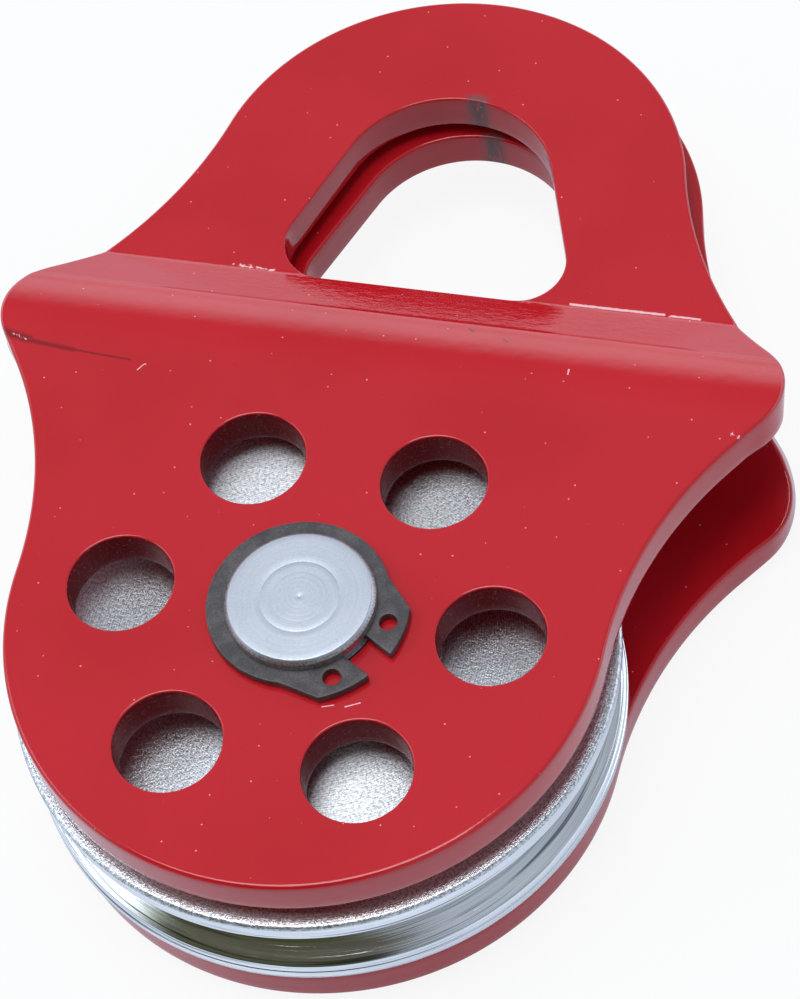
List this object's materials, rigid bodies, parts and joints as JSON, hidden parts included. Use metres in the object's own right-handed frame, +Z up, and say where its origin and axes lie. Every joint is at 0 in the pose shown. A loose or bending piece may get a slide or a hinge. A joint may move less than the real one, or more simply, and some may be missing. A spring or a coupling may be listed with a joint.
{
  "type": "snatch block",
  "caption": "Swing-open snatch block: two joggled side plates with pear-shaped eyes on one axle, holding a grooved rope sheave.",
  "frame": {"origin": "centre of the end face of the axle's head, on which the block lies", "axes": "+Z up along the axle from its head to its circlip end, +Y from the axle to the eyes, +X across the plates"},
  "size_m": [0.1407, 0.1923, 0.048],
  "materials": {
    "plate_coat": "glossy red powder coat",
    "zinc": "turned steel with bright zinc plating",
    "bronze": "plain bearing bronze",
    "spring_steel": "dark phosphated spring steel, satin"
  },
  "bodies": {
    "rear_side": {"rear_plate": "plate_coat", "axle": "zinc", "rear_washer": "zinc", "front_washer": "zinc", "circlip": "spring_steel"},
    "sheave": {"sheave": "zinc", "bush": "bronze"},
    "front_side": {"front_plate": "plate_coat"}
  },
  "joints": [
    {"name": "sheave_spin", "type": "hinge", "parent": "rear_side", "child": "sheave", "pos_m": [0, 0, 0.0235], "axis": [0, 0, 1], "continuous": true},
    {"name": "plate_swing", "type": "hinge", "parent": "rear_side", "child": "front_side", "pos_m": [0, 0, 0.0235], "axis": [0, 0, 1], "continuous": true}
  ]
}
